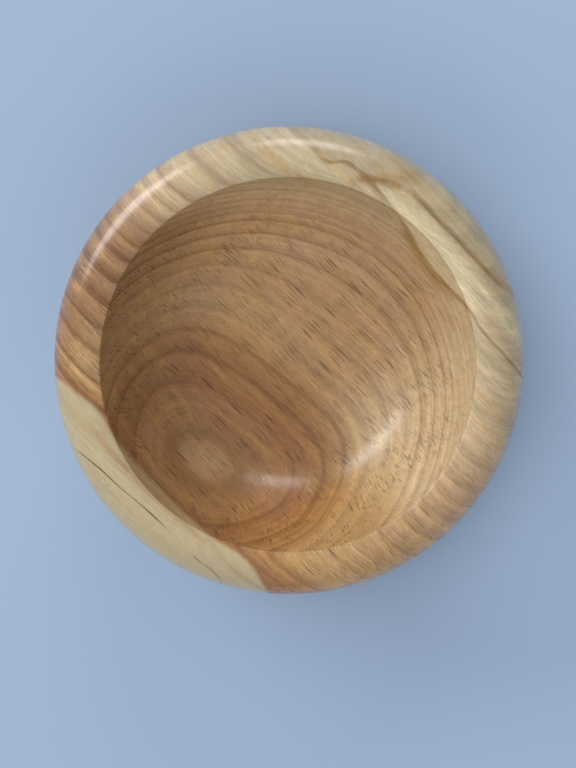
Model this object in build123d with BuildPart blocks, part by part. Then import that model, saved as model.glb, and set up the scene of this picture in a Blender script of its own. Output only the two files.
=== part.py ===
from build123d import *
from math import cos, radians, sin, sqrt, tan
import os

# A turned beech bowl with a broad half-round rim, standing on its foot.
# Millimetres. The origin is the centre of the foot's resting face, +Z goes up
# through the mouth, and the grain of the wood runs along X.

os.makedirs("parts", exist_ok=True)

# the rim and the mouth
bowl_diameter = 152.0       # widest, round the rim
bowl_height = 50.0          # foot to the crown of the rim
rim_section_radius = 12.5   # the rim is rounded over to this radius
mouth_diameter = 118.6      # across the lip, where the rim drops into the hollow
lip_softness = 0.9          # the arris of the lip, sanded round

# the hollow: a level floor, a cove and a steep wall, in two sweeps that meet in the cove
hollow_depth = 39.3         # lip to the middle of the floor
floor_run = 25.0            # how far out the floor is aimed level
cove_radius = 44.3          # distance of the cove's middle from the axis
cove_depth = 29.8           # its depth below the lip
cove_slope = 43.7           # degrees above level
cove_pull = (11.8, 7.9)     # how far the sweep holds that slope, before it and after it
wall_slope = 78.4           # degrees above level, at the lip
wall_pull = 14.4            # how far below the lip the sweep holds that slope

# the outside and the foot
shoulder_pull = 15.0        # how far the outside heads straight down from the widest line
belly_reach = (21.0, 5.0)   # out and up from the foot's corner, where the outside is aimed
foot_diameter = 64.0
foot_height = 3.5           # the foot's straight side, up to its crisp corner
foot_softness = 0.8         # the outer edge of the resting face
recess_diameter = 52.0      # the recess in the foot that the lathe's chuck held
recess_depth = 3.0
recess_dovetail = 8.0       # degrees that its side leans outwards
recess_softness = 0.4       # the inner edge of the resting face


def aim(point, slope, run):
    """The point that lies a run away from another, up a slope in degrees."""
    return (point[0] + run * cos(radians(slope)), point[1] + run * sin(radians(slope)))


# places on the section: distance from the axis, height above the foot
widest = (bowl_diameter / 2, bowl_height - rim_section_radius)
crown = (bowl_diameter / 2 - rim_section_radius, bowl_height)
lip_radius = mouth_diameter / 2
lip_height = widest[1] + sqrt(rim_section_radius**2 - (crown[0] - lip_radius) ** 2)
lip = (lip_radius, lip_height)
floor_height = lip_height - hollow_depth
floor_centre = (0, floor_height)
cove = (cove_radius, lip_height - cove_depth)
foot_radius = foot_diameter / 2
foot_corner = (foot_radius, foot_height)
recess_radius = recess_diameter / 2
recess_root = recess_radius + recess_depth * tan(radians(recess_dovetail))

with BuildPart() as bowl:
    with BuildSketch(Plane.XZ) as section:
        with BuildLine() as outline:
            Bezier(
                floor_centre,
                (floor_run, floor_height),
                aim(cove, cove_slope, -cove_pull[0]),
                cove,
            )
            Bezier(
                cove,
                aim(cove, cove_slope, cove_pull[1]),
                aim(lip, wall_slope, -wall_pull),
                lip,
            )
            RadiusArc(lip, crown, rim_section_radius)
            RadiusArc(crown, widest, rim_section_radius)
            Bezier(
                widest,
                (widest[0], widest[1] - shoulder_pull),
                (foot_radius + belly_reach[0], foot_height + belly_reach[1]),
                foot_corner,
            )
            Polyline(
                foot_corner,
                (foot_radius, 0),
                (recess_radius, 0),
                (recess_root, recess_depth),
                (0, recess_depth),
                floor_centre,
            )
        make_face()
    revolve(axis=Axis.Z)

    rings = bowl.edges().filter_by(GeomType.CIRCLE)
    resting_edges = rings.group_by(Axis.Z)[0].sort_by(SortBy.RADIUS)
    lip_ring = rings.filter_by(lambda ring: abs(ring.radius - lip_radius) < 0.01)
    fillet(lip_ring, lip_softness)
    fillet(resting_edges[-1], foot_softness)
    fillet(resting_edges[0], recess_softness)

bowl.part.label = "bowl"
export_step(bowl.part, "parts/bowl.step")

print("lip at", round(lip_height, 2), "and floor", round(floor_height - recess_depth, 2), "thick")
print("volume", round(bowl.part.volume / 1000, 1), "cm3")
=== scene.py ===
import bpy
import math
from mathutils import Matrix, Vector


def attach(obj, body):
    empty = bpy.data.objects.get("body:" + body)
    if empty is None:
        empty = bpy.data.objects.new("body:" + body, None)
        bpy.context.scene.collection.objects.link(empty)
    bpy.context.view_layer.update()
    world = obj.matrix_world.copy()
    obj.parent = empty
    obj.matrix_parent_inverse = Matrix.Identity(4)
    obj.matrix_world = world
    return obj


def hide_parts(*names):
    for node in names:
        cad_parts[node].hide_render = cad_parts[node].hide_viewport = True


# A turned beech bowl, seen from nearly overhead on a plain pale floor.
# Sizes are in mm, in the frame of the solid: +X along the grain, +Z up out of the mouth.

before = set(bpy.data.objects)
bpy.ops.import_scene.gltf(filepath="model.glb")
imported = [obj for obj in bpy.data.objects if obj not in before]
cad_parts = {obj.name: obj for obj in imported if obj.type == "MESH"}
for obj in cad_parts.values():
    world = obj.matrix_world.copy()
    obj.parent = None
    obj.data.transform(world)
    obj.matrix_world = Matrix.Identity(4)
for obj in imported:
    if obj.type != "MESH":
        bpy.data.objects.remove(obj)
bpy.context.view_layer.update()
mm = 0.001
print("frame loaded:", ", ".join(sorted(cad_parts)))


def toLinear(hexColour):
    parts = [int(hexColour[i:i + 2], 16) / 255 for i in (1, 3, 5)]
    return [c / 12.92 if c <= 0.04045 else ((c + 0.055) / 1.055) ** 2.4 for c in parts] + [1]


def addNode(tree, kind, inputs=None, **settings):
    node = tree.nodes.new(kind)
    for name, value in settings.items():
        setattr(node, name, value)
    for socket, value in (inputs or {}).items():
        if isinstance(value, bpy.types.NodeSocket):
            tree.links.new(value, node.inputs[socket])
        else:
            node.inputs[socket].default_value = value
    return node


# The bowl is one turned piece, so its mesh is one section carried round the axis.
bowlShape = {
    "diameter": 152.0,
    "height": 50.0,
    "rimSection": 12.5,
    "mouth": 118.6,
    "lipSoftness": 0.5,         # how far back from each sharp corner its rounding starts
    "hollowDepth": 39.3,
    "floorRun": 25.0,           # how far out the floor is aimed level
    "cove": (44.3, 29.8),       # out from the axis, down from the lip
    "coveSlope": 43.7,
    "covePull": (11.8, 7.9),    # how far the sweep holds that slope, before it and after it
    "wallSlope": 78.4,
    "wallPull": 14.4,           # how far below the lip the sweep holds that slope
    "shoulderPull": 15.0,       # how far the outside heads straight down from the widest line
    "bellyReach": (21.0, 5.0),  # out and up from the foot's corner, where the outside is aimed
    "foot": 64.0,
    "footHeight": 3.5,
    "footCornerSoftness": 0.25,
    "footSoftness": 0.8,
    "recess": 52.0,
    "recessDepth": 3.0,
    "recessDovetail": 8.0,
    "recessSoftness": 0.45,
    "sweepSteps": 34,           # in each of the two sweeps of the hollow
    "lipSteps": 8,
    "rimSteps": 44,
    "outsideSteps": 40,
    "recessSteps": 8,
    "segments": 384,            # round the axis
}


def aim(point, slope, run):
    return (point[0] + run * math.cos(math.radians(slope)),
            point[1] + run * math.sin(math.radians(slope)))


def sweepLine(a, b, c, d, steps):
    # a smooth sweep from a to d that leaves towards b and arrives from c
    points = []
    for i in range(steps + 1):
        t = i / steps
        weights = ((1 - t) ** 3, 3 * t * (1 - t) ** 2, 3 * t * t * (1 - t), t ** 3)
        points.append(tuple(sum(w * p[k] for w, p in zip(weights, (a, b, c, d))) for k in (0, 1)))
    return points


def pointBack(line, distance):
    # the point of a line that lies a distance back from its end
    for a, b in zip(line[-2::-1], line[:0:-1]):
        length = math.dist(a, b)
        if length >= distance:
            share = distance / length
            return (b[0] + (a[0] - b[0]) * share, b[1] + (a[1] - b[1]) * share)
        distance -= length
    return line[0]


def joinSoftly(before, after, softness, steps=6):
    # two lines that share a corner, with that corner sanded round
    corner = before[-1]
    start = pointBack(before, softness)
    end = pointBack(after[::-1], softness)
    rounding = sweepLine(start, corner, corner, end, steps)
    clear = softness * 1.1      # so that the rounding's ends get no close neighbours
    head = [p for p in before if math.dist(p, corner) > clear]
    tail = [p for p in after if math.dist(p, corner) > clear]
    return head + rounding + tail


def bowlSection(b):
    # from the middle of the floor: hollow, lip, rim, outside, foot, recess
    widest = (b["diameter"] / 2, b["height"] - b["rimSection"])
    rimCentre = (widest[0] - b["rimSection"], widest[1])
    lipRadius = b["mouth"] / 2
    lipAngle = math.degrees(math.acos((lipRadius - rimCentre[0]) / b["rimSection"]))
    lip = aim(rimCentre, lipAngle, b["rimSection"])
    floor = lip[1] - b["hollowDepth"]
    cove = (b["cove"][0], lip[1] - b["cove"][1])
    hollow = sweepLine((0, floor), (b["floorRun"], floor),
                       aim(cove, b["coveSlope"], -b["covePull"][0]), cove, b["sweepSteps"])
    hollow += sweepLine(cove, aim(cove, b["coveSlope"], b["covePull"][1]),
                        aim(lip, b["wallSlope"], -b["wallPull"]), lip, b["sweepSteps"])[1:]
    rim = [aim(rimCentre, lipAngle * (1 - i / b["rimSteps"]), b["rimSection"])
           for i in range(b["rimSteps"] + 1)]
    footRadius = b["foot"] / 2
    footCorner = (footRadius, b["footHeight"])
    outside = sweepLine(widest, (widest[0], widest[1] - b["shoulderPull"]),
                        (footRadius + b["bellyReach"][0], footCorner[1] + b["bellyReach"][1]),
                        footCorner, b["outsideSteps"])
    recessRadius = b["recess"] / 2
    root = recessRadius + b["recessDepth"] * math.tan(math.radians(b["recessDovetail"]))
    footSide = [footCorner, (footRadius, b["footHeight"] / 2), (footRadius, 0)]
    recessSide = [(recessRadius, 0), (root, b["recessDepth"])]
    recessBack = [(root * (1 - i / b["recessSteps"]), b["recessDepth"])
                  for i in range(b["recessSteps"] + 1)]
    line = joinSoftly(hollow, rim, b["lipSoftness"], b["lipSteps"]) + outside[1:]
    line = joinSoftly(line, footSide, b["footCornerSoftness"])
    line = joinSoftly(line, [(footRadius, 0), (recessRadius, 0)], b["footSoftness"])
    line = joinSoftly(line, recessSide, b["recessSoftness"])
    return joinSoftly(line, recessBack, b["footCornerSoftness"])


def turnedMesh(name, section, segments):
    # the first and the last point of the section lie on the axis
    rings = section[1:-1]
    verts = []
    for radius, height in rings:
        for s in range(segments):
            turn = 2 * math.pi * s / segments
            verts.append((radius * math.cos(turn) * mm, radius * math.sin(turn) * mm, height * mm))
    floorMiddle = len(verts)
    verts += [(0, 0, section[0][1] * mm), (0, 0, section[-1][1] * mm)]
    lastRing = (len(rings) - 1) * segments
    faces = []
    for s in range(segments):
        n = (s + 1) % segments
        faces.append((floorMiddle, s, n))
        for k in range(0, lastRing, segments):
            faces.append((k + s, k + segments + s, k + segments + n, k + n))
        faces.append((floorMiddle + 1, lastRing + n, lastRing + s))
    mesh = bpy.data.meshes.new(name)
    mesh.from_pydata(verts, [], faces)
    mesh.polygons.foreach_set("use_smooth", [True] * len(mesh.polygons))
    mesh.validate()
    mesh.update()
    return mesh


bowlMesh = turnedMesh("turnedBowl", bowlSection(bowlShape), bowlShape["segments"])
bowl = bpy.data.objects.new("turnedBowl", bowlMesh)
bpy.context.scene.collection.objects.link(bowl)
print("bowl turned:", len(bowlMesh.vertices), "points,", len(bowlMesh.polygons), "faces")


# How a share comes in between two limits: slow at both of them, or evenly.
soft = "SMOOTHSTEP"
even = "LINEAR"

# Beech, turned, sanded and given a clear semi-gloss coat: to the eye a warm pink-brown heart
# with paler sapwood at two sides, fine dark dashes where the rays are cut, and soft highlights.
# A limit goes by a place, which is x, y, z, or fromAxis (out from the bowl's axis), the way towards the
# wall with painted shade, or out (from the middle of the tree).
beech = {
    "ior": 1.5,
    "roughness": 0.5,
    "coatWeight": 0.9,
    "coatRoughness": 0.21,
    "pith": (81.7, 144.1),       # +Y and +Z of the middle of the tree, where X is 0
    "pithClimb": 0.1065,         # how fast it climbs along +X
    "waver": 1.2,                # how far the grain wanders, and over which distances
    "waverSpacing": (60, 24, 24),
    "roundTree": 150.0,          # distance from the middle at which spacings round the tree are true
    "rimStraight": 0.85,         # how far the rim's own height is kept out of its rings,
    "rimLevel": 50.0,            # as if all of it lay at this level
    "rimLimits": [("fromAxis", 59, 63, soft), ("z", 16, 38, soft)],
    "heart": [                   # distance from the middle of the tree, colour of the early wood
        (84, "#b8ab87"), (104, "#bba883"), (112, "#c1a881"), (117, "#bfa179"), (122, "#bb9a74"),
        (133, "#ba966a"), (141, "#b48e60"), (148, "#b48d5d"), (156, "#b8925f"), (160, "#b68a52"),
        (163, "#a97840"), (169, "#a36f3c"), (175, "#ac7c4a"), (176.8, "#ae8254"), (178.5, "#d2b081"),
        (186, "#a67f55"),
    ],
    "lateWood": "#693e17",
    "rings": [                   # distance from the middle of the tree, depth of its dark line
        (88.0, 0.3), (93.5, 0.35), (99.0, 0.3), (104.5, 0.35), (110.5, 0.5), (114.2, 0.3),
        (117.5, 0.4), (121.2, 0.4), (125.0, 0.6), (129.0, 0.8), (134.5, 0.85), (140.0, 0.8),
        (145.5, 0.42), (150.8, 0.45), (156.5, 0.5), (161.3, 0.85), (165.5, 1.0), (170.5, 0.8),
        (176.3, 0.7), (182.0, 0.7), (187.5, 0.6), (193.0, 0.6),
    ],
    "ringShape": [(-3.2, 0), (-1.12, 0.36), (0, 1), (0.6, 0)],    # out from the line, share of its depth
    "ringMargin": 4.0,           # room for the first line's start and the last one's end
    "ringDepth": [(-74, 1.1), (-60, 1.05), (-46, 0.58), (30, 0.54), (60, 0.44)],  # along X, near end first
    "ringOnRim": 1.1,            # added to it on the rim at the near end of the grain
    "ringOnRimLimits": [("fromAxis", 58, 61, even), ("x", -12, -40, soft), ("out", 126, 142, soft)],
    "ringDarkest": 0.72,         # no line takes more of the late wood's colour than this
    "woodAndPaintedLightZones": [                   # colour and depth of a paler wall (painted light), a browner rim and wall (partly browner wood, partly painted shade) and a duller wall (painted shade)
        # painted light: the inner wall at +X near the lip, made paler where the side lamp falls on it
        ("#dcc69c", 0.62, [("x", 12, 46, soft), ("y", -20, 4, soft), ("fromAxis", 60.5, 58.5, soft)]),
        # partly browner wood, partly painted shade: the near end of the grain, rim and wall, made browner
        # and darker
        ("#80532c", 0.66, [("x", -46, -62, soft), ("out", 114, 126, soft)]),
        # painted shade: a cooler, duller brown on the wall that lies in shade
        ("#846c56", 0.42, [("towardsShadedWall", 12, 50, soft), ("fromAxis", 60, 58.5, even)]),
    ],
    "towardsShadedWall": (-0.64, -0.77, 0),             # the way from the axis to the wall with painted shade
    "bands": [                   # limits of a pattern, depth and colour of its golden and pinkish streaks
        (0.5, 0.72, 0.5, "#bf9758"),
        (0.5, 0.3, 0.3, "#aa8062"),
    ],
    "bandSpacing": (70, 5, 5),
    "sap": "#b7a57e",
    "sapSoftness": (-0.6, 1.4),  # it comes in from just before its edge to just past it
    "sapEdge": [(-80, -54.5), (-49, -54), (-40, -52.7), (-33, -52), (-20, -55), (0, -56.5),
                (20, -55.5), (35, -52.3), (50, -55), (80, -56)],
    "sapEdgeLevel": 49.3,        # the height at which that edge is given
    "sapEdgeLean": 0.2,          # it moves out by this much for each mm further down
    "sapLine": "#875c33",
    "sapLineWidth": 3.2,
    "sapLineDepth": 0.5,
    "streaks": [                 # spacing along the grain, round the tree and out from it; depth
        ((90, 30, 1.3), 0.08),
        ((80, 40, 0.45), 0.13),
        ((40, 3, 3), 0.1),
        ((16, 0.4, 0.4), 0.1),       # fibres, 0.02 mm thick and drawn coarser so that they show
        ((1.8, 0.22, 0.3), 0.2),     # pores, up to 0.08 mm wide and drawn coarser as well
    ],
    "rays": [                    # spacing of a pattern's cells along X, Y and Z; share with a ray; depth
        ((13.0, 0.3, 4.0), 0.27, 1.0),
        ((6.0, 0.25, 3.0), 0.6, 0.5),
    ],
    "rayEdge": (0.36, 0.25),     # reach of a ray in its cell, to its soft edge and to its dark core
    "rayFull": 0.6,              # share of the rays that have their full depth
    "ray": "#3f2511",
    "raysShown": [(108, 0.3), (138, 1.0)],     # distance from the middle of the tree, share that shows
    "sapCalm": 0.6,              # how much of the streaks the sapwood lacks
    "sapRays": 0.3,              # the share of the rays that shows in the sapwood
    "relief": 0.03,              # depth of the grain under the coat
    "reliefStrength": 0.5,
    "stainPatch": (9, 1.2, 4),   # the stains come and go over these distances,
    "stainPatchLimits": (0.3, 0.6),
    "stainLeast": 0.45,          # down to this share of their depth
    "stainCore": 0.1,            # share of its reach over which a stain keeps its full depth
    "stainBody": 0.6,            # share of its length over which it does
    "stainsAndPaintedLight": [                  # reach inwards and outwards, depth, colour, course as X and Y
        # a pale band in the wood, made paler still on the wall as painted light
        (3.4, 3.0, 0.95, "#dccaa0", [(-20, 60), (-8, 59.4), (2, 58.2), (12, 57), (22, 56), (34, 55)]),
        (1.8, 1.6, 0.5, "#967547", [(-62, 52), (-55, 52.8), (-45, 53), (-38, 53.2)]),
        (1.8, 0.9, 0.8, "#85602f", [(-42, 53), (-36.5, 54), (-34, 57), (-30, 58.4), (-22, 58.6),
                                    (-14, 58)]),
        (0.9, 0.7, 0.7, "#8f6a35", [(-20, 58.5), (-10, 57.9), (-3, 57), (3, 56)]),
        (2.8, 0.8, 0.9, "#96702f", [(-9, 57.6), (0, 56.4), (6, 55.2), (14, 54.4), (24, 53.8)]),
        (0.8, 0.6, 0.8, "#8a6332", [(10, 54.8), (20, 54), (28, 53.3), (33, 52.3), (46, 51.7), (64, 51)]),
        (4.2, 4.2, 0.6, "#a17b41", [(-30, 55), (-25, 58), (-22, 61), (-18, 66), (-13, 72)]),
        (2.6, 2.2, 0.8, "#85602e", [(-28, 57), (-24, 59), (-20, 62), (-14, 64.6)]),
        (1.1, 2.4, 0.8, "#8a6538", [(-20, 61.8), (-14, 64.7), (-8, 65.4), (2, 65.2), (12, 65.4), (22, 65.3),
                                    (30, 66.3), (36, 67.6), (46, 69.4)]),
        (2.6, 2.6, 0.45, "#ad8144", [(-62, 48), (-59.5, 44), (-54, 42), (-46, 42.3), (-40, 44),
                                     (-32, 49.5)]),
        (4.2, 3.8, 0.75, "#d6c59c", [(-22, 60.8), (-8, 61.2), (10, 60.4), (30, 59.6), (56, 59)]),
        (0.5, 0.5, 1.0, "#5f482c", [(-32, -69.5), (-28, -67.3), (-20, -65.5), (-10, -64.7), (0, -64),
                                     (15, -63.8)]),
        (0.4, 0.4, 0.8, "#5f482c", [(21, -64.6), (27, -64), (31, -63.8), (36, -65)]),
        # painted shade: a warm brown band on the sapwood along the lip, where the wall lies in shade
        (1.8, 1.5, 0.5, "#a3743f", [(-34, -57.4), (-20, -58.6), (0, -59.2), (16, -58.8), (28, -57.2)]),
        (2.4, 2.4, 0.35, "#a98a5c", [(-54, -57), (-44, -58.6), (-34, -58.6), (-22, -56.6)]),
        (1.6, 1.6, 0.4, "#a98858", [(20, -56.6), (28, -58), (38, -57.6), (50, -55.6)]),
    ],
}


def shapeCurve(node, points, handles):
    # lays a curve node through the points given, straight from one to the next or smooth
    line = node.mapping.curves[0]
    line.points[0].location = points[0]
    line.points[1].location = points[-1]
    for x, y in points[1:-1]:
        line.points.new(x, y)
    for point in line.points:
        point.handle_type = handles
    node.mapping.update()


def between(tree, places, share, limits):
    # a share that comes in as each of the places named goes from its first limit to its second
    for name, low, high, manner in limits:
        part = addNode(tree, "ShaderNodeMapRange", {"Value": places[name], "From Min": low,
                                                    "From Max": high}, interpolation_type=manner)
        share = addNode(tree, "ShaderNodeMath", {0: part.outputs[0], 1: share},
                        operation="MULTIPLY").outputs[0]
    return share


def woodPlaces(tree, w):
    # where a point lies in the bowl, and in the tree: along the grain, round the middle, out from it
    local = addNode(tree, "ShaderNodeTexCoord").outputs["Object"]
    place = addNode(tree, "ShaderNodeVectorMath", {0: local, "Scale": 1 / mm}, operation="SCALE")
    slowly = addNode(tree, "ShaderNodeVectorMath", {0: place.outputs[0],
                                                    1: [1 / s for s in w["waverSpacing"]]},
                     operation="MULTIPLY")
    noise = addNode(tree, "ShaderNodeTexNoise", {"Vector": slowly.outputs[0], "Scale": 1, "Detail": 2})
    waver = w["waver"]
    offset = addNode(tree, "ShaderNodeVectorMath",
                     {0: noise.outputs["Color"], 1: (0, 2 * waver, 2 * waver), 2: (0, -waver, -waver)},
                     operation="MULTIPLY_ADD")
    bent = addNode(tree, "ShaderNodeVectorMath", {0: place.outputs[0], 1: offset.outputs[0]},
                   operation="ADD").outputs[0]
    x, y, z = addNode(tree, "ShaderNodeSeparateXYZ", {0: bent}).outputs
    flat = addNode(tree, "ShaderNodeCombineXYZ", {0: x, 1: y}).outputs[0]
    places = {"bent": bent, "x": x, "y": y, "z": z}
    places["fromAxis"] = addNode(tree, "ShaderNodeVectorMath", {0: flat},
                                 operation="LENGTH").outputs["Value"]
    places["towardsShadedWall"] = addNode(tree, "ShaderNodeVectorMath", {0: flat, 1: w["towardsShadedWall"]},
                                 operation="DOT_PRODUCT").outputs["Value"]

    onRim = between(tree, places, w["rimStraight"], w["rimLimits"])
    level = addNode(tree, "ShaderNodeMix", {0: onRim, 2: z, 3: w["rimLevel"]}).outputs[0]
    across = addNode(tree, "ShaderNodeMath", {0: y, 1: w["pith"][0]}, operation="SUBTRACT").outputs[0]
    pithHeight = addNode(tree, "ShaderNodeMath", {0: x, 1: w["pithClimb"], 2: w["pith"][1]},
                         operation="MULTIPLY_ADD")
    below = addNode(tree, "ShaderNodeMath", {0: pithHeight.outputs[0], 1: level},
                    operation="SUBTRACT").outputs[0]
    spoke = addNode(tree, "ShaderNodeCombineXYZ", {0: across, 1: below})
    places["out"] = addNode(tree, "ShaderNodeVectorMath", {0: spoke.outputs[0]},
                            operation="LENGTH").outputs["Value"]
    angle = addNode(tree, "ShaderNodeMath", {0: across, 1: below}, operation="ARCTAN2")
    arc = addNode(tree, "ShaderNodeMath", {0: angle.outputs[0], 1: w["roundTree"]}, operation="MULTIPLY")
    places["inTree"] = addNode(tree, "ShaderNodeCombineXYZ",
                               {0: x, 1: arc.outputs[0], 2: places["out"]}).outputs[0]
    return places


def heartColour(tree, w, out):
    # colour of the early wood, ring by ring, out from the middle of the tree
    low = w["heart"][0][0]
    high = w["heart"][-1][0]
    share = addNode(tree, "ShaderNodeMapRange", {"Value": out, "From Min": low, "From Max": high})
    ramp = addNode(tree, "ShaderNodeValToRGB", {0: share.outputs[0]})
    stops = ramp.color_ramp.elements
    stops.remove(stops[1])
    for i, (distance, colour) in enumerate(w["heart"]):
        stop = stops[0] if i == 0 else stops.new((distance - low) / (high - low))
        stop.position = (distance - low) / (high - low)
        stop.color = toLinear(colour)
    return ramp.outputs[0]


def ringLines(tree, w, out):
    # darkness of the growth rings, out from the middle of the tree
    low = w["rings"][0][0] - w["ringMargin"]
    high = w["rings"][-1][0] + w["ringMargin"]
    alongCurve = addNode(tree, "ShaderNodeMapRange", {"Value": out, "From Min": low, "From Max": high})
    curve = addNode(tree, "ShaderNodeFloatCurve", {"Value": alongCurve.outputs[0]})
    points = [(0, 0)]
    for distance, depth in w["rings"]:
        for offset, share in w["ringShape"]:
            points.append(((distance + offset - low) / (high - low), depth * share))
    shapeCurve(curve, points + [(1, 0)], "VECTOR")
    return curve.outputs[0]


def alongLine(tree, x, course):
    # the course of a line, as its Y for each X
    reach = 80      # courses lie within this on both sides of the axis
    share = addNode(tree, "ShaderNodeMapRange", {"Value": x, "From Min": -reach, "From Max": reach})
    curve = addNode(tree, "ShaderNodeFloatCurve", {"Value": share.outputs[0]})
    points = [((px + reach) / (2 * reach), (py + reach) / (2 * reach)) for px, py in course]
    shapeCurve(curve, points, "AUTO")
    return addNode(tree, "ShaderNodeMapRange", {"Value": curve.outputs[0], "To Min": -reach,
                                                "To Max": reach}).outputs[0]


def stainAndPaintedBandLine(tree, w, places, blotch, inwards, outwards, depth, course):
    # a line on the wood, for stains and for bands of painted light and shade: strong in its middle, soft at
    # its edges and its ends
    middle = alongLine(tree, places["x"], course)
    aside = addNode(tree, "ShaderNodeMath", {0: places["y"], 1: middle}, operation="SUBTRACT").outputs[0]
    outer = addNode(tree, "ShaderNodeMapRange", {"Value": aside, "From Min": outwards,
                                                 "From Max": outwards * w["stainCore"],
                                                 "To Max": depth}, interpolation_type=soft).outputs[0]
    inner = addNode(tree, "ShaderNodeMapRange", {"Value": aside, "From Min": -inwards,
                                                 "From Max": -inwards * w["stainCore"]},
                    interpolation_type=soft).outputs[0]
    tone = addNode(tree, "ShaderNodeMath", {0: outer, 1: inner}, operation="MULTIPLY").outputs[0]
    tone = addNode(tree, "ShaderNodeMath", {0: tone, 1: blotch}, operation="MULTIPLY").outputs[0]
    middleX = (course[0][0] + course[-1][0]) / 2
    halfLength = (course[-1][0] - course[0][0]) / 2
    alongX = addNode(tree, "ShaderNodeMath", {0: places["x"], 1: middleX}, operation="SUBTRACT")
    alongX = addNode(tree, "ShaderNodeMath", {0: alongX.outputs[0]}, operation="ABSOLUTE")
    within = addNode(tree, "ShaderNodeMapRange", {"Value": alongX.outputs[0], "From Min": halfLength,
                                                  "From Max": halfLength * w["stainBody"]},
                     interpolation_type=soft)
    return addNode(tree, "ShaderNodeMath", {0: tone, 1: within.outputs[0]},
                   operation="MULTIPLY").outputs[0]


def cutRays(tree, w, places, spacing, share):
    # the rays, cut across: short dark dashes along the grain, in some of the cells of a pattern
    softEdge, core = w["rayEdge"]
    inCells = addNode(tree, "ShaderNodeVectorMath", {0: places["bent"], 1: [1 / s for s in spacing]},
                      operation="MULTIPLY")
    cells = addNode(tree, "ShaderNodeTexVoronoi", {"Vector": inCells.outputs[0], "Scale": 1})
    dash = addNode(tree, "ShaderNodeMapRange", {"Value": cells.outputs["Distance"],
                                                "From Min": softEdge, "From Max": core},
                   interpolation_type=soft)
    chance = addNode(tree, "ShaderNodeSeparateColor", {0: cells.outputs["Color"]})
    chosen = addNode(tree, "ShaderNodeMapRange", {"Value": chance.outputs[0], "From Min": 1 - share,
                                                  "From Max": 1 - share * w["rayFull"]})
    return addNode(tree, "ShaderNodeMath", {0: dash.outputs[0], 1: chosen.outputs[0]},
                   operation="MULTIPLY").outputs[0]


def heartWood(tree, w, places):
    # the heart, with its zones of wood colour and of painted light and shade, its golden and pinkish
    # streaks and the dark lines of its rings
    colour = heartColour(tree, w, places["out"])
    for zone, depth, limits in w["woodAndPaintedLightZones"]:
        share = between(tree, places, depth, limits)
        colour = addNode(tree, "ShaderNodeMix", {0: share, 6: colour, 7: toLinear(zone)},
                         data_type="RGBA").outputs[2]
    longways = addNode(tree, "ShaderNodeVectorMath", {0: places["bent"],
                                                      1: [1 / s for s in w["bandSpacing"]]},
                       operation="MULTIPLY")
    band = addNode(tree, "ShaderNodeTexNoise", {"Vector": longways.outputs[0], "Scale": 1, "Detail": 3})
    for low, high, depth, streak in w["bands"]:
        share = addNode(tree, "ShaderNodeMapRange", {"Value": band.outputs[0], "From Min": low,
                                                     "From Max": high, "To Max": depth}).outputs[0]
        colour = addNode(tree, "ShaderNodeMix", {0: share, 6: colour, 7: toLinear(streak)},
                         data_type="RGBA").outputs[2]

    # the lines are bolder at the near end of the grain, and most of all on the rim there
    reach = 100     # their depths are given within this on both sides of the axis
    alongGrain = addNode(tree, "ShaderNodeMapRange", {"Value": places["x"], "From Min": -reach,
                                                      "From Max": reach})
    bold = addNode(tree, "ShaderNodeFloatCurve", {"Value": alongGrain.outputs[0]})
    shapeCurve(bold, [((px + reach) / (2 * reach), depth) for px, depth in w["ringDepth"]], "AUTO")
    onRim = between(tree, places, w["ringOnRim"], w["ringOnRimLimits"])
    bold = addNode(tree, "ShaderNodeMath", {0: bold.outputs[0], 1: onRim}, operation="ADD").outputs[0]
    share = addNode(tree, "ShaderNodeMath", {0: ringLines(tree, w, places["out"]), 1: bold},
                    operation="MULTIPLY").outputs[0]
    share = addNode(tree, "ShaderNodeMath", {0: share, 1: w["ringDarkest"]},
                    operation="MINIMUM").outputs[0]
    return addNode(tree, "ShaderNodeMix", {0: share, 6: colour, 7: toLinear(w["lateWood"])},
                   data_type="RGBA").outputs[2]


def withSapwood(tree, w, places, colour):
    # the pale sapwood past its edge, with a brown line on the heart's side of it
    edge = alongLine(tree, places["x"], w["sapEdge"])
    lean = addNode(tree, "ShaderNodeMath", {0: places["z"], 1: w["sapEdgeLean"],
                                            2: -w["sapEdgeLevel"] * w["sapEdgeLean"]},
                   operation="MULTIPLY_ADD").outputs[0]
    edge = addNode(tree, "ShaderNodeMath", {0: edge, 1: lean}, operation="ADD").outputs[0]
    past = addNode(tree, "ShaderNodeMath", {0: edge, 1: places["y"]}, operation="SUBTRACT").outputs[0]
    edgeLine = addNode(tree, "ShaderNodeMapRange", {"Value": past, "From Min": -w["sapLineWidth"],
                                                    "From Max": 0, "To Max": w["sapLineDepth"]},
                       interpolation_type=soft).outputs[0]
    colour = addNode(tree, "ShaderNodeMix", {0: edgeLine, 6: colour, 7: toLinear(w["sapLine"])},
                     data_type="RGBA").outputs[2]
    before, beyond = w["sapSoftness"]
    inSap = addNode(tree, "ShaderNodeMapRange", {"Value": past, "From Min": before, "From Max": beyond},
                    interpolation_type=soft).outputs[0]
    colour = addNode(tree, "ShaderNodeMix", {0: inSap, 6: colour, 7: toLinear(w["sap"])},
                     data_type="RGBA").outputs[2]
    return colour, inSap


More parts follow.
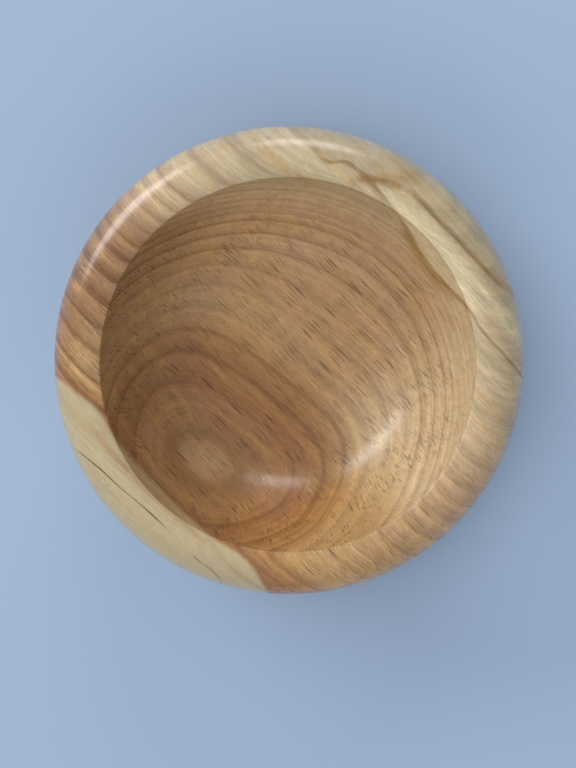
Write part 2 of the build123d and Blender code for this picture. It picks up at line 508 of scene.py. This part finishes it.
def withStainsAndPaintedLight(tree, w, places, colour):
    # stains, and bands of painted light and shade among them, stronger here and weaker there
    low, high = w["stainPatchLimits"]
    patches = addNode(tree, "ShaderNodeVectorMath", {0: places["bent"],
                                                     1: [1 / s for s in w["stainPatch"]]},
                      operation="MULTIPLY")
    blotch = addNode(tree, "ShaderNodeTexNoise", {"Vector": patches.outputs[0], "Scale": 1, "Detail": 2})
    blotch = addNode(tree, "ShaderNodeMapRange", {"Value": blotch.outputs[0], "From Min": low,
                                                  "From Max": high, "To Min": w["stainLeast"]}).outputs[0]
    for inwards, outwards, depth, lineColour, course in w["stainsAndPaintedLight"]:
        line = stainAndPaintedBandLine(tree, w, places, blotch, inwards, outwards, depth, course)
        colour = addNode(tree, "ShaderNodeMix", {0: line, 6: colour, 7: toLinear(lineColour)},
                         data_type="RGBA").outputs[2]
    return colour


def fineTone(tree, w, places, inSap):
    # soft streaks within the rings, fine fibres and pores, calmer in the sapwood
    low, high = 0.25, 0.75      # nearly all of the noise lies between these
    tone = 1.0
    for spacing, depth in w["streaks"]:
        closer = addNode(tree, "ShaderNodeVectorMath", {0: places["inTree"], 1: [1 / s for s in spacing]},
                         operation="MULTIPLY")
        noise = addNode(tree, "ShaderNodeTexNoise", {"Vector": closer.outputs[0], "Scale": 1, "Detail": 2})
        part = addNode(tree, "ShaderNodeMapRange", {"Value": noise.outputs[0], "From Min": low,
                                                    "From Max": high, "To Min": 1 - depth,
                                                    "To Max": 1 + depth}).outputs[0]
        tone = addNode(tree, "ShaderNodeMath", {0: part, 1: tone}, operation="MULTIPLY").outputs[0]
    calm = addNode(tree, "ShaderNodeMix", {0: inSap, 2: tone, 3: 1.0}).outputs[0]
    return addNode(tree, "ShaderNodeMix", {0: w["sapCalm"], 2: tone, 3: calm}).outputs[0]


def allRays(tree, w, places, inSap):
    # a few bold rays and many faint ones, fewest near the middle of the tree and in the sapwood
    rays = 0.0
    for spacing, share, depth in w["rays"]:
        dashes = cutRays(tree, w, places, spacing, share)
        rays = addNode(tree, "ShaderNodeMath", {0: dashes, 1: depth, 2: rays},
                       operation="MULTIPLY_ADD", use_clamp=True).outputs[0]
    (nearOut, nearShare), (farOut, farShare) = w["raysShown"]
    inHeart = addNode(tree, "ShaderNodeMapRange", {"Value": places["out"], "From Min": nearOut,
                                                   "From Max": farOut, "To Min": nearShare,
                                                   "To Max": farShare}).outputs[0]
    notInSap = addNode(tree, "ShaderNodeMapRange", {"Value": inSap, "To Min": 1.0,
                                                    "To Max": w["sapRays"]}).outputs[0]
    for share in (inHeart, notInSap):
        rays = addNode(tree, "ShaderNodeMath", {0: rays, 1: share}, operation="MULTIPLY").outputs[0]
    return rays


def beechWood(w):
    material = bpy.data.materials.new("beechTurnedClearCoated")
    material.use_nodes = True
    tree = material.node_tree
    tree.nodes.clear()
    places = woodPlaces(tree, w)
    colour, inSap = withSapwood(tree, w, places, heartWood(tree, w, places))
    colour = withStainsAndPaintedLight(tree, w, places, colour)
    tone = fineTone(tree, w, places, inSap)
    colour = addNode(tree, "ShaderNodeVectorMath", {0: colour, "Scale": tone}, operation="SCALE").outputs[0]
    rays = allRays(tree, w, places, inSap)
    colour = addNode(tree, "ShaderNodeMix", {0: rays, 6: colour, 7: toLinear(w["ray"])},
                     data_type="RGBA").outputs[2]
    relief = addNode(tree, "ShaderNodeMath", {0: tone, 1: rays}, operation="SUBTRACT").outputs[0]
    bump = addNode(tree, "ShaderNodeBump", {"Height": relief, "Strength": w["reliefStrength"],
                                            "Distance": w["relief"] * mm})
    skin = addNode(tree, "ShaderNodeBsdfPrincipled", {
        "Base Color": colour, "Roughness": w["roughness"], "IOR": w["ior"],
        "Coat Weight": w["coatWeight"], "Coat Roughness": w["coatRoughness"], "Coat IOR": w["ior"],
        "Normal": bump.outputs[0], "Coat Normal": bump.outputs[0]})
    addNode(tree, "ShaderNodeOutputMaterial", {"Surface": skin.outputs[0]})
    return material


bowlMesh.materials.append(beechWood(beech))
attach(bowl, "root")
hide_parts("bowl")
print("wood on:", len(bowlMesh.materials[0].node_tree.nodes), "nodes")


# A matt painted board that the bowl stands on: to the eye an even, pale grey-blue.
floorBoard = {
    "halfWidth": 4000.0,
    "colour": "#9db0c8",
    "roughness": 0.85,
    "gap": 0.05,                 # a hair below the foot, so that the two don't share a plane
}


def paintedBoard(b):
    material = bpy.data.materials.new("boardPaintedMatt")
    material.use_nodes = True
    tree = material.node_tree
    tree.nodes["Principled BSDF"].inputs["Base Color"].default_value = toLinear(b["colour"])
    tree.nodes["Principled BSDF"].inputs["Roughness"].default_value = b["roughness"]
    half = b["halfWidth"] * mm
    mesh = bpy.data.meshes.new("floorBoard")
    top = -b["gap"] * mm
    corners = [(-half, -half, top), (half, -half, top), (half, half, top), (-half, half, top)]
    mesh.from_pydata(corners, [], [(0, 1, 2, 3)])
    mesh.materials.append(material)
    board = bpy.data.objects.new("floorBoard", mesh)
    bpy.context.scene.collection.objects.link(board)


paintedBoard(floorBoard)


# Soft lamps round the bowl. Azimuth goes from +X towards +Y, and both sizes are in degrees as
# the bowl sees them. A lamp's light is what it would throw on a surface that faces it,
# as a share of the light at which a colour renders as it is written. Only the lamps with
# inGloss show as highlights in the coat.
lampDistance = 4000.0
lamps = {
    "sideLamp": {"azimuth": 186, "elevation": 21, "wide": 38, "high": 24, "light": 0.52, "inGloss": True},
    "topLamp": {"azimuth": 131, "elevation": 20, "wide": 28, "high": 21, "light": 0.26, "inGloss": True},
    "windowLamp": {"azimuth": 140, "elevation": 48, "wide": 50, "high": 30, "light": 0.1, "inGloss": False},
    "frontLamp": {"azimuth": 275, "elevation": 40, "wide": 80, "high": 30, "light": 0.32, "inGloss": False},
    "shelfLamp": {"azimuth": 345, "elevation": 45, "wide": 60, "high": 40, "light": 0.22, "inGloss": False},
    "overLamp": {"azimuth": 210, "elevation": 75, "wide": 50, "high": 50, "light": 0.42, "inGloss": False},
}
room = {"colour": "#d4e2ff", "light": 0.2}     # cool light from all round


def hangLamp(name, spec):
    azimuth = math.radians(spec["azimuth"])
    elevation = math.radians(spec["elevation"])
    direction = Vector((math.cos(azimuth) * math.cos(elevation), math.sin(azimuth) * math.cos(elevation),
                        math.sin(elevation)))
    light = bpy.data.lights.new(name, "AREA")
    light.shape = "ELLIPSE"
    light.size = 2 * lampDistance * mm * math.tan(math.radians(spec["wide"] / 2))
    light.size_y = 2 * lampDistance * mm * math.tan(math.radians(spec["high"] / 2))
    light.energy = spec["light"] * (math.pi * lampDistance * mm) ** 2
    lamp = bpy.data.objects.new(name, light)
    lamp.visible_glossy = spec["inGloss"]
    lamp.location = direction * lampDistance * mm
    lamp.rotation_euler = direction.to_track_quat("Z", "Y").to_euler()
    bpy.context.scene.collection.objects.link(lamp)


for name, spec in lamps.items():
    hangLamp(name, spec)

world = bpy.data.worlds.new("room")
world.use_nodes = True
world.node_tree.nodes["Background"].inputs["Color"].default_value = toLinear(room["colour"])
world.node_tree.nodes["Background"].inputs["Strength"].default_value = room["light"]
bpy.context.scene.world = world
bpy.context.scene.view_settings.view_transform = "Standard"
print("lamps hung:", ", ".join(lamps))


# The camera looks down into the bowl from almost straight above, with the grain running
# towards the lower right of the picture.
cameraView = {
    "place": (-19.3, 29.6, 404.3),
    "lookAt": (6.2, -7.0, 10.0),
    "topOfPicture": (-0.7128, 0.6927, -0.1103),
    "lens": 53.16,
}


def setCamera(c):
    place = Vector(c["place"])
    forward = (Vector(c["lookAt"]) - place).normalized()
    right = forward.cross(Vector(c["topOfPicture"])).normalized()
    data = bpy.data.cameras.new("camera")
    data.lens = c["lens"]
    data.sensor_width = 36
    camera = bpy.data.objects.new("camera", data)
    turn = Matrix((right, right.cross(forward), -forward)).transposed()
    camera.matrix_world = Matrix.Translation(place * mm) @ turn.to_4x4()
    bpy.context.scene.collection.objects.link(camera)
    bpy.context.scene.camera = camera


setCamera(cameraView)
bpy.context.view_layer.update()
print("camera set")
